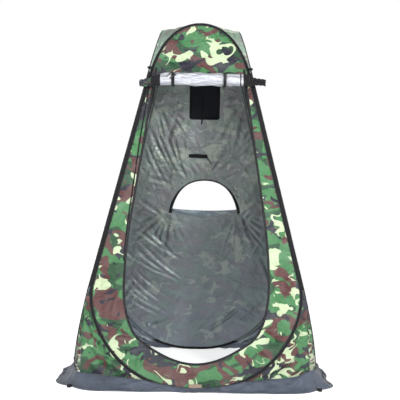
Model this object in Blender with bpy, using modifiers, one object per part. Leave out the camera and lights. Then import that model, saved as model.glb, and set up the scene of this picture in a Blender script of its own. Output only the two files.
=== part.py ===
"""Pop-up privacy shower tent: four leaning fabric walls, each stretched inside its own sprung steel hoop.

Metres, +Z up. The origin is on the ground at the centre of the base, and the door is in the front wall, at -Y.
Each wall is drawn flat in a frame of its own: u runs along the wall, v up its slope and n outwards, with v = 0
on the ground. The walls turn against each other about the four leaning corner lines.
"""

import math

import bmesh
import bpy
from mathutils import Matrix, Vector

# The four leaning walls
SIDES = ("front", "right", "back", "left")  # quarter turns about +Z
BASE_HALF = 0.64  # from the centre to a wall's plane, on the ground
SLOPE = 0.23245  # how far a wall leans in for each metre it rises
LEAN = math.atan(SLOPE)
RISE = math.cos(LEAN)  # height gained for each metre up the slope
FABRIC = 0.0005  # half the thickness of every fabric panel
GAP = 0.0003  # running clearance between neighbouring pieces

# Hoops: a sprung wire inside an edge sleeve, with half outlines given as (across, height)
HINGE_DEPTH = 0.006  # the corner lines lie this far behind the walls' planes
HOOP_INSET = 0.01199  # from the corner of two walls' planes to the middle of a sleeve
WIRE_RADIUS = 0.00175
SLEEVE_INNER, SLEEVE_OUTER = 0.0036, 0.0055
SLIT = 0.0008  # half the slit in a sleeve that the panel's edge goes into
PANEL_INSET = 0.0046  # from the middle of a sleeve to the edge of the panel
OUTSIDE = 0.0067  # from the middle of a sleeve to fabric sewn along its outer side
FOOT_HEIGHT = 0.0058  # the middle of the sleeve where the hoop stands on the ground
FOOT_FLAT = 0.032  # half the straight stretch at the bottom of a hoop
FOOT_TOP, FOOT_PULL, FOOT_REACH = 0.50, 0.33, 0.385
FOOT_STEPS, CROWN_STEPS = 9, 5  # straight lengths in each curved stretch
CROWN_START, CROWN_PULL, CROWN_REACH, CROWN_TOP = 1.576, 1.722, 0.14, 1.861

# Door, in the front wall
DOOR_TOP, DOOR_TOP_HALF = 1.56, 0.2365
DOOR_KNEE = (0.322, 0.92)  # where the straight side of the opening ends
ZIP_TOP = 1.612
ZIP_OUTSIDE, ZIP_INSIDE = 0.012, 0.006  # tape on either side of an opening's edge
SLIDER_HEIGHT = 1.59
ROLL_HEIGHT, ROLL_OUT = 1.533, 0.044  # middle of the rolled-up door, on the wall and out from it
ROLL_RADIUS, ROLL_END_RADIUS, ROLL_SKIN = 0.0355, 0.0235, 0.004
ROLL_LEFT, ROLL_RIGHT = -0.312, 0.338
ROLL_SILVER_LEFT, ROLL_SILVER_RIGHT = -0.186, 0.226
TIE_PLACES = {"left": -0.140, "right": 0.129}
TIE_WIDTH = 0.015

# Back wall, seen from outside: its u runs towards -X
WINDOW_CENTRE, WINDOW_HALF, WINDOW_SILL, WINDOW_RISE = -0.041, 0.203, 0.87, 0.184
FLAP_INSET, FLAP_OUT, FLAP_AXIS_OUT = 0.0018, 0.0040, 0.0020
VENT_CENTRE, VENT_HALF, VENT_BOTTOM, VENT_TOP = -0.031, 0.081, 1.42, 1.625
VENT_CORNER = 0.0065
VENT_FLAP_MARGIN = 0.018
HOSE_STRAP_CENTRE, HOSE_STRAP_HALF, HOSE_STRAP_HEIGHT = 0.004, 0.056, 1.198

# Corners and hem
GUSSET_START, GUSSET_END = 1 / FOOT_STEPS, 7 / FOOT_STEPS  # shares of the foot's curve that a gusset spans
GUSSET_TOP_OUT, GUSSET_FOOT_OUT = 0.5405, 0.560  # distance of its ridge along each wall, top and bottom
GUSSET_FOOT = 0.062
SKIRT_OUT, SKIRT_CORNER_OUT, SKIRT_INNER_CORNER = 0.695, 0.592, 0.5672
STAKE_LOOP_OUT, STAKE_LOOP_RADIUS, STAKE_LOOP_HEIGHT = 0.6045, 0.0105, 0.013
GUY_LOOP_HEIGHT, GUY_LOOP_RADIUS, GUY_LOOP_WIDTH = 1.61, 0.0115, 0.010
LOOP_STRAP = 0.0018

CAMO = (0.075, 0.155, 0.075)
CAMO_DARK = (0.035, 0.075, 0.04)
BLACK = (0.012, 0.012, 0.014)
SLATE = (0.07, 0.075, 0.13)
SILVER = (0.78, 0.78, 0.82)
TAN = (0.30, 0.20, 0.12)
STEEL = (0.45, 0.46, 0.48)


# Helpers


def clear_scene():
    for item in list(bpy.data.objects):
        bpy.data.objects.remove(item, do_unlink=True)


def make_collection(name):
    group = bpy.data.collections.new(name)
    bpy.context.scene.collection.children.link(group)
    return group


def make_material(name, colour, roughness, metallic=0.0):
    material = bpy.data.materials.new(name)
    material.use_nodes = True
    shader = material.node_tree.nodes["Principled BSDF"]
    shader.inputs["Base Color"].default_value = (*colour, 1.0)
    shader.inputs["Roughness"].default_value = roughness
    shader.inputs["Metallic"].default_value = metallic
    return material


def add_object(name, data, material, parent=None, location=(0, 0, 0), rotation=(0, 0, 0)):
    item = bpy.data.objects.new(name, data)
    data.materials.append(material)
    TENT.objects.link(item)
    item.parent = parent
    item.location = location
    item.rotation_euler = rotation
    return item


def add_empty(name, location, rotation=(0, 0, 0), parent=None):
    """An empty placed in the world, keeping that place under its parent."""
    item = bpy.data.objects.new(name, None)
    item.empty_display_size = 0.1
    TENT.objects.link(item)
    item.location = location
    item.rotation_euler = rotation
    if parent:
        bpy.context.view_layer.update()
        item.parent = parent
        item.matrix_parent_inverse = parent.matrix_world.inverted()
    return item


def poly_curve(name, lines, closed=True, dimensions="2D"):
    curve = bpy.data.curves.new(name, "CURVE")
    curve.dimensions = dimensions
    for line in lines:
        spline = curve.splines.new("POLY")
        spline.points.add(len(line) - 1)
        for point, place in zip(spline.points, line):
            point.co = (*place, *(0.0,) * (3 - len(place)), 1.0)
        spline.use_cyclic_u = closed
    return curve


def flat_piece(name, outlines, half_thickness, material, parent=None, location=(0, 0, 0), rotation=(0, 0, 0)):
    """A flat piece cut to its first outline, with the others as holes."""
    curve = poly_curve(name, outlines)
    curve.fill_mode = "BOTH"
    curve.extrude = half_thickness
    return add_object(name, curve, material, parent, location, rotation)


def tube(name, line, radius, material, parent, location=(0, 0, 0)):
    curve = poly_curve(name, [line], closed=False, dimensions="3D")
    curve.bevel_depth = radius
    curve.bevel_resolution = 1
    curve.use_fill_caps = True
    return add_object(name, curve, material, parent, location)


def turned_piece(name, profile, closed, steps, material, parent, location, rotation):
    """A profile of (radius, height) points, outer side from top to bottom, turned about its own Z axis."""
    mesh = bpy.data.meshes.new(name)
    count = len(profile)
    edges = [(i, i + 1) for i in range(count - 1)] + ([(count - 1, 0)] if closed else [])
    mesh.from_pydata([(radius, 0.0, height) for radius, height in profile], edges, [])
    item = add_object(name, mesh, material, parent, location, rotation)
    screw = item.modifiers.new("turn", "SCREW")
    screw.steps = screw.render_steps = steps
    screw.use_merge_vertices = True
    screw.merge_threshold = 0.00001
    screw.use_smooth_shade = True
    return item


def mapped_sheet(name, patches, material):
    """Fabric made of grids (columns, rows, place), where place(s, t) gives the point at those shares of a grid."""
    whole = bmesh.new()
    for columns, rows, place in patches:
        made = bmesh.ops.create_grid(whole, x_segments=columns, y_segments=rows, size=0.5)
        for vert in made["verts"]:
            vert.co = place(vert.co.x + 0.5, vert.co.y + 0.5)
    bmesh.ops.remove_doubles(whole, verts=whole.verts, dist=0.00005)
    bmesh.ops.recalc_face_normals(whole, faces=whole.faces)
    mesh = bpy.data.meshes.new(name)
    whole.to_mesh(mesh)
    whole.free()
    mesh.shade_smooth()
    item = add_object(name, mesh, material)
    solidify = item.modifiers.new("fabric", "SOLIDIFY")
    solidify.thickness = 2 * FABRIC
    solidify.offset = 0
    solidify.use_even_offset = True
    return item


def bezier(start, pull_start, pull_end, end, steps):
    """Points along a cubic curve, without its first one."""
    a, b, c, d = (Vector(p) for p in (start, pull_start, pull_end, end))
    shares = [i / steps for i in range(1, steps + 1)]
    return [a * (1 - t) ** 3 + b * 3 * t * (1 - t) ** 2 + c * 3 * t * t * (1 - t) + d * t**3 for t in shares]


def offset(line, distance, closed=True):
    """An anticlockwise line moved outwards by distance, or inwards where it is negative."""
    points = [Vector(p) for p in line]
    first = points[-1] if closed else points[0] * 2 - points[1]
    last = points[0] if closed else points[-1] * 2 - points[-2]
    moved = []
    for before, here, after in zip([first] + points[:-1], points, points[1:] + [last]):
        into, out = (here - before).normalized(), (after - here).normalized()
        mitre = Vector((into.y + out.y, -into.x - out.x)).normalized()
        moved.append(here + mitre * (distance / mitre.dot(Vector((into.y, -into.x)))))
    return moved


def mirrored(line):
    """The left half of a shape from its right half, in the same sense of travel."""
    return [Vector((-p[0], p[1])) for p in reversed(line)]


def on_slope(line):
    """Turns (across, height) into (u, v) on a wall."""
    return [Vector((p[0], p[1] / RISE)) for p in line]


def plane_out(height):
    """How far out a wall's plane stands at a height."""
    return BASE_HALF - SLOPE * height


def turn(side, point):
    """A point of the front side, (across, -out, height), turned round to another side."""
    return Matrix.Rotation(SIDES.index(side) * math.pi / 2, 3, "Z") @ Vector(point)


# Outlines


def hoop_side(height):
    return plane_out(height) - HOOP_INSET


def foot_point(share):
    """(across, height) along the foot's right-hand curve, from its top at 0 to the flat of the hoop at 1."""
    a = Vector((hoop_side(FOOT_TOP), FOOT_TOP))
    b = Vector((hoop_side(FOOT_PULL), FOOT_PULL))
    c = Vector((FOOT_REACH, FOOT_HEIGHT))
    d = Vector((FOOT_FLAT, FOOT_HEIGHT))
    t = share
    return a * (1 - t) ** 3 + b * 3 * t * (1 - t) ** 2 + c * 3 * t * t * (1 - t) + d * t**3


def hoop_line():
    """The middle of a hoop's sleeve, anticlockwise from the bottom, as (u, v)."""
    foot = [foot_point(1 - i / FOOT_STEPS) for i in range(FOOT_STEPS + 1)]
    start = (hoop_side(CROWN_START), CROWN_START)
    pull = (hoop_side(CROWN_PULL), CROWN_PULL)
    crown = bezier(start, pull, (CROWN_REACH, CROWN_TOP), (0, CROWN_TOP), CROWN_STEPS)
    right = foot + [Vector(start)] + crown
    return on_slope(right + mirrored(right[:-1]))


def door_line(top):
    """The edge of the door opening, open at the top, anticlockwise from the top left, as (u, v)."""
    slope = (DOOR_KNEE[0] - DOOR_TOP_HALF) / (DOOR_TOP - DOOR_KNEE[1])
    side_top = (DOOR_TOP_HALF - slope * (top - DOOR_TOP), top)
    hip, ankle, sole = (0.355, 0.53), (0.26, 0.222), (0.0, 0.122)
    foot = bezier(sole, (0.10, sole[1]), (0.19, 0.175), ankle, 5)
    leg = bezier(ankle, (0.335, 0.27), (0.362, 0.42), hip, 5)
    thigh = bezier(hip, (0.355, 0.66), (0.341, 0.79), DOOR_KNEE, 3)
    right = [Vector(sole)] + foot + leg + thigh + [Vector(side_top)]
    return on_slope(mirrored(right) + right[1:])


def window_line():
    """The arch of the half-moon window, anticlockwise from its right foot, as (u, v)."""
    foot, crown = (WINDOW_HALF, 0), (0, WINDOW_RISE)
    right = [Vector(foot)] + bezier(foot, (0.175, 0.12), (0.11, WINDOW_RISE), crown, 6)
    arch = right + mirrored(right)[1:]
    return on_slope([(p.x + WINDOW_CENTRE, p.y + WINDOW_SILL) for p in arch])


def rounded_rectangle(centre, half_width, bottom, top, radius):
    """As (u, v), anticlockwise."""
    middle, half_height = (bottom + top) / 2, (top - bottom) / 2
    points = []
    for quarter, (sx, sy) in enumerate(((1, 1), (-1, 1), (-1, -1), (1, -1))):
        for i in range(4):
            angle = math.radians(90 * quarter + 30 * i)
            x = centre + sx * (half_width - radius) + radius * math.cos(angle)
            y = middle + sy * (half_height - radius) + radius * math.sin(angle)
            points.append(Vector((x, y)))
    return points


def vent_line(grow):
    """The vent's edge in the back wall, grown by some distance."""
    bottom, top = VENT_BOTTOM / RISE - grow, VENT_TOP / RISE + grow
    return rounded_rectangle(VENT_CENTRE, VENT_HALF + grow, bottom, top, VENT_CORNER + grow)


def strap_loop(radius, tail):
    """A sewn strap loop seen along its hole: a ring about the origin, with a tail towards -X."""
    start, steps = math.radians(158), 14
    angles = [start - 2 * start * i / steps for i in range(steps + 1)]
    ring = [(radius * math.cos(a), radius * math.sin(a)) for a in reversed(angles)]
    inner = radius - LOOP_STRAP
    hole = [(inner * math.cos(2 * math.pi * i / 12), inner * math.sin(2 * math.pi * i / 12)) for i in range(12)]
    return [ring + [(-tail, LOOP_STRAP), (-tail, -LOOP_STRAP)], hole]


# Pieces


def add_hoop(side, frame, wire_paint, sleeve_paint, profile):
    """The sprung wire, the ferrule that joins its ends, and the sleeve round both."""
    line = hoop_line()
    foot = line[0].y
    ends = [Vector((0.0006, foot)), Vector((-0.0006, foot))]
    tube(f"hoop_wire_{side}", [ends[0]] + line + [ends[1]], WIRE_RADIUS, wire_paint, frame)
    inner, outer, half = 0.00205, 0.0029, 0.021
    ring = [(outer, half), (outer, -half), (inner, -half), (inner, half)]
    across = (0, math.pi / 2, 0)
    turned_piece(f"hoop_ferrule_{side}", ring, True, 10, wire_paint, frame, (0, foot, 0), across)
    sleeve = poly_curve(f"hoop_sleeve_{side}", [line], dimensions="3D")
    sleeve.bevel_mode = "OBJECT"
    sleeve.bevel_object = profile
    add_object(f"hoop_sleeve_{side}", sleeve, sleeve_paint, frame)


def sleeve_profile():
    """A tube's section with a slit on the side of the panel, used as the guide for all four sleeves."""
    points = []
    for radius, sense in ((SLEEVE_OUTER, -1), (SLEEVE_INNER, 1)):
        half = sense * (math.pi - math.asin(SLIT / radius))
        points += [(radius * math.cos(half * i / 3), radius * math.sin(half * i / 3)) for i in range(-3, 4)]
    item = bpy.data.objects.new("sleeve_profile", poly_curve("sleeve_profile", [points]))
    GUIDES.objects.link(item)
    item.hide_render = True
    item.display_type = "WIRE"
    return item


def add_walls(frames, paint):
    panel = offset(hoop_line(), -PANEL_INSET)
    holes = {"front": [door_line(DOOR_TOP)], "back": [window_line(), vent_line(0)]}
    for side in SIDES:
        flat_piece(f"{side}_wall", [panel] + holes.get(side, []), FABRIC, paint, frames[side])


def gusset_place(corner):
    """Fabric across a bottom corner, from one hoop's foot over the ridge to the next hoop's foot."""

    def facet(along, down):
        share = GUSSET_START + (GUSSET_END - GUSSET_START) * down
        here, ahead = foot_point(share), foot_point(share + 0.01)
        outward = Vector((here.y - ahead.y, ahead.x - here.x)).normalized()
        edge = here + Vector((abs(outward.x), -abs(outward.y))) * OUTSIDE
        top = foot_point(GUSSET_START).y
        height = top + (GUSSET_FOOT - top) * down**0.8
        out = GUSSET_TOP_OUT + (GUSSET_FOOT_OUT - GUSSET_TOP_OUT) * (top - height) / (top - GUSSET_FOOT)
        start, end = Vector((edge.x, -plane_out(edge.y), edge.y)), Vector((out, -out, height))
        return start.lerp(end, along)

    def place(s, t):
        if s <= 0.5:
            return turn(corner, facet(2 * s, t))
        point = facet(2 - 2 * s, t)
        return turn(corner, (-point.y, -point.x, point.z))

    return place


def add_gussets(paint):
    """Each gusset is named for the two sides it joins; it starts from the side whose right-hand corner it closes."""
    for side, name in zip(SIDES, ("front_right", "back_right", "back_left", "front_left")):
        mapped_sheet(f"corner_gusset_{name}", [(6, 6, gusset_place(side))], paint)


def skirt_rows(share):
    """The skirt's section at a share of the way along: on the wall, where it lands, and its outer edge."""
    along = abs(share)
    foot_end = foot_point(GUSSET_END)
    inner_end = SKIRT_INNER_CORNER
    across = inner_end * along
    if across < foot_end.x:
        part = across / foot_end.x
        height = 0.012 + (foot_end.y - 0.012 - 0.004) * part**2
        out = plane_out(height) + 0.0095
    else:
        part = (across - foot_end.x) / (inner_end - foot_end.x)
        height = (foot_end.y - 0.004) * (1 - part) + 0.058 * part
        out = (plane_out(foot_end.y - 0.004) + 0.0095) * (1 - part) + inner_end * part
    outer_across = SKIRT_CORNER_OUT * along
    outer = SKIRT_OUT - (SKIRT_OUT - SKIRT_CORNER_OUT) * along**12
    landing = out + (outer - out) * (0.30 + 0.15 * along)
    landing_across = across + (outer_across - across) * 0.4
    rows = [(across, out, height), (landing_across, landing, FABRIC), (outer_across, outer, FABRIC)]
    end_gap = 0.0014
    return [Vector((math.copysign(max(x - end_gap * along, 0), share), -y, z)) for x, y, z in rows]


def add_skirts(paint):
    for side in SIDES:

        def upper(s, t, side=side):
            rows = skirt_rows(2 * s - 1)
            return turn(side, rows[0].lerp(rows[1], t))

        def lower(s, t, side=side):
            rows = skirt_rows(2 * s - 1)
            return turn(side, rows[1].lerp(rows[2], t))

        mapped_sheet(f"skirt_{side}", [(16, 1, upper), (16, 1, lower)], paint)


def crown_edge(share):
    """(across, height) of the roof's seam along the right half of an arch, from its foot to its top."""
    start, end = Vector((hoop_side(CROWN_START), CROWN_START)), Vector((0, CROWN_TOP))
    pull, reach = Vector((hoop_side(CROWN_PULL), CROWN_PULL)), Vector((CROWN_REACH, CROWN_TOP))
    t = share
    here = start * (1 - t) ** 3 + pull * 3 * t * (1 - t) ** 2 + reach * 3 * t * t * (1 - t) + end * t**3
    tangent = (pull - start) * (1 - t) ** 2 + (reach - pull) * 2 * t * (1 - t) + (end - reach) * t * t
    tangent.normalize()
    return here + Vector((tangent.y, -tangent.x)) * OUTSIDE


def add_roof(paint):
    """One piece of fabric: a flat square between the arches' tops, with a strip down each corner."""

    def strip(side):
        def place(s, t):
            edge = crown_edge(t)
            near = Vector((edge.x, -plane_out(edge.y), edge.y))
            far = Vector((plane_out(edge.y), -edge.x, edge.y))
            return turn(side, near.lerp(far, s))

        return place

    tops = [turn(side, (0, -plane_out(CROWN_TOP + OUTSIDE), CROWN_TOP + OUTSIDE)) for side in SIDES]

    def square(s, t):
        point = tops[0].lerp(tops[1], s).lerp(tops[3].lerp(tops[2], s), t)
        sag = 0.008 * math.sin(math.pi * s) * math.sin(math.pi * t)
        return point - Vector((0, 0, sag))

    patches = [(3, CROWN_STEPS, strip(side)) for side in SIDES] + [(3, 3, square)]
    mapped_sheet("roof_panel", patches, paint)


def add_door(frame, paints):
    """The zip's tape round the opening, its slider and pull, and the rolled-up door with its ties."""
    line = door_line(ZIP_TOP)
    tape = offset(line, ZIP_OUTSIDE, closed=False) + list(reversed(offset(line, -ZIP_INSIDE, closed=False)))
    tape_out = 2 * FABRIC + GAP
    flat_piece("door_zip_track", [tape], FABRIC, paints["webbing"], frame, (0, 0, tape_out))

    slope = (DOOR_KNEE[0] - DOOR_TOP_HALF) / (DOOR_TOP - DOOR_KNEE[1])
    tilt = math.atan(slope * RISE)
    middle = Vector((DOOR_TOP_HALF - slope * (SLIDER_HEIGHT - DOOR_TOP), SLIDER_HEIGHT / RISE))
    slider = add_empty_on(frame, "door_slide_axis", (middle.x, middle.y, tape_out), tilt)
    add_slider("door", slider, paints["zip_metal"])

    centre = (0, ROLL_HEIGHT / RISE, ROLL_OUT)
    half = (ROLL_SILVER_RIGHT - ROLL_SILVER_LEFT) / 2
    mid = (ROLL_SILVER_RIGHT + ROLL_SILVER_LEFT) / 2
    outer = [(ROLL_END_RADIUS, ROLL_RIGHT), (ROLL_END_RADIUS, mid + half + 0.022), (ROLL_RADIUS - 0.003, mid + half)]
    outer += [(ROLL_RADIUS, mid + half - 0.03), (ROLL_RADIUS, mid - half + 0.03), (ROLL_RADIUS - 0.003, mid - half)]
    outer += [(ROLL_END_RADIUS, mid - half - 0.022), (ROLL_END_RADIUS, ROLL_LEFT)]
    inner = [(radius - ROLL_SKIN, height) for radius, height in reversed(outer)]
    turned_piece("door_roll", outer + inner, True, 16, paints["silver"], frame, centre, (0, math.pi / 2, 0))

    for name, across in TIE_PLACES.items():
        add_door_tie(name, frame, across, paints["webbing"])
        add_toggle(name, frame, across, paints["toggle"])


def add_empty_on(frame, name, location, tilt=0.0, facing=0.0):
    """An empty given in a wall's own frame, turned in the wall's plane by tilt, or to its inside by facing pi."""
    item = bpy.data.objects.new(name, None)
    item.empty_display_size = 0.03
    TENT.objects.link(item)
    item.parent = frame
    item.location = location
    item.rotation_euler = (0, facing, tilt)
    return item


def add_slider(name, axis, paint):
    """A zip slider lying on its tape, with a pull that hangs from its lower end.

    The axis empty's Y runs up the tape, and its Z away from the wall.
    """
    rise, half = FABRIC + GAP, 0.0014
    body = rounded_rectangle(0, 0.0048, -0.006, 0.006, 0.0015)
    flat_piece(f"{name}_slider", [body], half, paint, axis, (0, 0, rise + half))
    hinge = add_empty_on(axis, f"{name}_pull_hinge", (0, -0.0045, rise + 2 * half + GAP + 0.0006))
    tab = rounded_rectangle(0, 0.0032, -0.022, 0.0006, 0.0015)
    hole = rounded_rectangle(0, 0.0016, -0.0195, -0.0145, 0.0012)
    flat_piece(f"{name}_pull", [tab, hole], 0.0006, paint, hinge)


def add_door_tie(name, frame, across, paint):
    """A webbing band round the roll, sewn to the wall above it by its tail."""
    inner, strap = ROLL_RADIUS + 2 * GAP, 0.0015
    outer = inner + strap
    start, end, steps = math.radians(-52), math.radians(298), 22
    angles = [start + (end - start) * i / steps for i in range(steps + 1)]
    band = [(outer * math.cos(a), outer * math.sin(a)) for a in angles]
    wall = FABRIC + GAP - ROLL_OUT
    rise = 0.060
    hole = [(inner * math.cos(2 * math.pi * i / 24), inner * math.sin(2 * math.pi * i / 24)) for i in range(24)]
    outline = band + [(rise - 0.012, wall), (rise, wall), (rise, wall + strap), (rise - 0.010, wall + strap)]
    # The band's own X is up the wall and its Y outwards, so its thickness runs along u
    rotation = Matrix(((0, 0, 1), (1, 0, 0), (0, 1, 0))).to_euler()
    location = (across, ROLL_HEIGHT / RISE, ROLL_OUT)
    flat_piece(f"door_tie_{name}", [outline, hole], TIE_WIDTH / 2, paint, frame, location, rotation)


def add_toggle(name, frame, across, paint):
    """A small bar on the front of a tie, turning on its middle."""
    tilt = {"left": -math.radians(52), "right": 0.0}[name]
    radius, half = 0.0035, 0.021
    profile = [(0, half), (radius * 0.7, half - 0.001), (radius, half - 0.004)]
    profile += [(radius, -half + 0.004), (radius * 0.7, -half + 0.001), (0, -half)]
    out = ROLL_OUT + ROLL_RADIUS + 2 * GAP + 0.0015 + GAP + radius
    pivot = add_empty_on(frame, f"door_toggle_{name}_pivot", (across, ROLL_HEIGHT / RISE, out), tilt)
    turned_piece(f"door_toggle_{name}", profile, False, 10, paint, pivot, (0, 0, 0), (-math.pi / 2, 0, 0))


def add_window(frame, paints):
    """The half-moon window's flap, hanging open outside, and the zip round the window's inner side."""
    line = window_line()
    inner_face = -2 * FABRIC - GAP
    tape = offset(line, 0.010, closed=False) + list(reversed(offset(line, -0.004, closed=False)))
    flat_piece("window_zip_track", [tape], FABRIC, paints["webbing"], frame, (0, 0, inner_face))

    sill = WINDOW_SILL / RISE
    hinge = add_empty_on(frame, "window_flap_hinge", (WINDOW_CENTRE, sill, FLAP_AXIS_OUT))
    closed = offset(line, -FLAP_INSET)
    flap = [(p.x - WINDOW_CENTRE, sill - p.y) for p in reversed(closed)]
    flat_piece("window_flap", [flap], FABRIC, paints["camo"], hinge, (0, 0, FLAP_OUT - FLAP_AXIS_OUT))

    foot, above = line[-1], line[-2]
    side = (above - foot).normalized()
    tilt = math.atan2(-side.x, side.y)
    start = foot + side * 0.010
    slide = add_empty_on(frame, "window_slide_axis", (start.x, start.y, inner_face), tilt, facing=math.pi)
    add_slider("window", slide, paints["zip_metal"])


def add_vent(frame, paints):
    """The mesh vent high in the back wall, its binding, its outer storm flap, and the flap's hanging tie."""
    flat_piece("vent_mesh", [vent_line(-0.0008)], 0.0003, paints["mesh"], frame)
    inner_face = -2 * FABRIC - GAP
    flat_piece("vent_binding", [vent_line(0.009), vent_line(-0.006)], FABRIC, paints["webbing"], frame, (0, 0, inner_face))

    top = VENT_TOP / RISE + VENT_FLAP_MARGIN
    drop = (VENT_TOP - VENT_BOTTOM) / RISE + 2 * VENT_FLAP_MARGIN
    hinge = add_empty_on(frame, "vent_flap_hinge", (VENT_CENTRE, top, 0.0020))
    flap = rounded_rectangle(0, VENT_HALF + VENT_FLAP_MARGIN, -drop, 0, 0.012)
    flat_piece("vent_storm_flap", [flap], FABRIC, paints["camo"], hinge)

    tie = rounded_rectangle(-0.018, 0.0035, 1.385 / RISE, 1.55 / RISE, 0.002)
    flat_piece("vent_tie", [tie], 0.0004, paints["webbing"], frame, (0, 0, -0.0030))


def add_hose_strap(frame, paint):
    """A short webbing strap sewn to the inside of the back wall at its ends, bowed out so that a hose goes behind."""
    half, strap, bow = HOSE_STRAP_HALF, 0.0012, 0.0105
    wall = FABRIC + GAP
    end = half - 0.010
    steps = 8

    def arc(lift):
        return [(end * math.cos(math.pi * i / steps), wall + lift + bow * math.sin(math.pi * i / steps)) for i in range(steps + 1)]

    outer = [(half, wall), (half, wall + strap)] + arc(strap)[1:-1] + [(-half, wall + strap), (-half, wall)]
    inner = list(reversed(arc(0)))
    # The strap's own Y runs into the tent, and its thickness up the wall
    rotation = (-math.pi / 2, 0, 0)
    location = (HOSE_STRAP_CENTRE, HOSE_STRAP_HEIGHT / RISE, 0)
    flat_piece("hose_strap", [outer + inner], 0.011, paint, frame, location, rotation)


def add_corner_loops(paint):
    """Stake loops on the ground at the skirt's corners, and guy loops near the top of the front and back hoops."""
    for side, name in zip(SIDES, ("front_right", "back_right", "back_left", "front_left")):
        quarter = SIDES.index(side) * math.pi / 2
        out = STAKE_LOOP_OUT
        middle = turn(side, (out, -out, 0.0004 + STAKE_LOOP_HEIGHT / 2))
        outlines = strap_loop(STAKE_LOOP_RADIUS, 0.0168)
        spin = quarter - math.pi / 4
        flat_piece(f"stake_loop_{name}", outlines, STAKE_LOOP_HEIGHT / 2, paint, None, middle, (0, 0, spin))

        across, depth = hoop_side(GUY_LOOP_HEIGHT), plane_out(GUY_LOOP_HEIGHT)
        lean = math.radians(60)  # how far the loop points away from its wall's line
        reach = SLEEVE_OUTER + GAP + 0.0045 + GUY_LOOP_RADIUS
        place = Vector((across + reach * math.cos(lean), -depth - reach * math.sin(lean), GUY_LOOP_HEIGHT))
        heading = -lean
        if name in ("front_left", "back_right"):
            place = Vector((-place.x, place.y, place.z))
            heading = math.pi + lean
        wall = math.pi if name.startswith("back") else 0.0
        centre = Matrix.Rotation(wall, 3, "Z") @ place
        outlines = strap_loop(GUY_LOOP_RADIUS, GUY_LOOP_RADIUS + 0.0038)
        flat_piece(f"guy_loop_{name}", outlines, GUY_LOOP_WIDTH / 2, paint, None, centre, (0, 0, heading + wall))


def add_hem_tab(frame, paint):
    """A patch over the foot of the front hoop, where the ends of the wire meet."""
    tab = rounded_rectangle(0.002, 0.031, 0.0035, 0.030, 0.003)
    flat_piece("hem_tab", [tab], 0.0004, paint, frame, (0, 0, SLEEVE_OUTER + GAP + 0.0004))


def add_frames():
    """One frame for each wall, under the corner line that its wall turns on."""
    corner = BASE_HALF - HINGE_DEPTH / RISE
    front = add_wall_frame("front", None)
    left_hinge = add_empty("fold_left_hinge", (-corner, -corner, 0), parent=front)
    right_hinge = add_empty("fold_right_hinge", (corner, -corner, 0), parent=front)
    right = add_wall_frame("right", right_hinge)
    back_hinge = add_empty("fold_back_hinge", (corner, corner, 0), parent=right)
    frames = {"front": front, "left": add_wall_frame("left", left_hinge)}
    frames.update(right=right, back=add_wall_frame("back", back_hinge))
    return frames


def add_wall_frame(side, parent):
    """X along the wall, Y up its slope, Z outwards."""
    quarter = SIDES.index(side) * math.pi / 2
    place = turn(side, (0, -BASE_HALF, 0))
    return add_empty(f"{side}_wall_frame", place, (math.pi / 2 - LEAN, 0, quarter), parent)


def build():
    paints = {
        "camo": make_material("camo_fabric", CAMO, 0.8),
        "roof": make_material("roof_fabric", CAMO_DARK, 0.8),
        "skirt": make_material("skirt_fabric", SLATE, 0.75),
        "silver": make_material("silver_coating", SILVER, 0.45),
        "sleeve": make_material("sleeve_tape", BLACK, 0.7),
        "webbing": make_material("black_webbing", BLACK, 0.75),
        "mesh": make_material("vent_mesh_fabric", BLACK, 0.85),
        "zip_metal": make_material("zip_metal", BLACK, 0.35, 0.6),
        "toggle": make_material("toggle_plastic", BLACK, 0.4),
        "steel": make_material("spring_steel", STEEL, 0.35, 1.0),
        "tab": make_material("tab_leather", TAN, 0.7),
    }
    frames = add_frames()
    profile = sleeve_profile()
    for side in SIDES:
        add_hoop(side, frames[side], paints["steel"], paints["sleeve"], profile)
    add_walls(frames, paints["camo"])
    add_gussets(paints["camo"])
    add_skirts(paints["skirt"])
    add_roof(paints["roof"])
    add_door(frames["front"], paints)
    add_window(frames["back"], paints)
    add_vent(frames["back"], paints)
    add_hose_strap(frames["back"], paints["webbing"])
    add_corner_loops(paints["webbing"])
    add_hem_tab(frames["front"], paints["tab"])


clear_scene()
TENT = make_collection("privacy_shower_tent")
GUIDES = make_collection("guides")
build()
bpy.context.view_layer.update()
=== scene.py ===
"""Looks of the pop-up privacy shower tent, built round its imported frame.

Each wall has a flat frame of its own, as in the part: u along the wall, v up its slope, n outwards.
"""

import math
from functools import partial

import bmesh
import bpy
import numpy as np
from mathutils import Matrix, Vector
from mathutils.geometry import delaunay_2d_cdt


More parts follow.
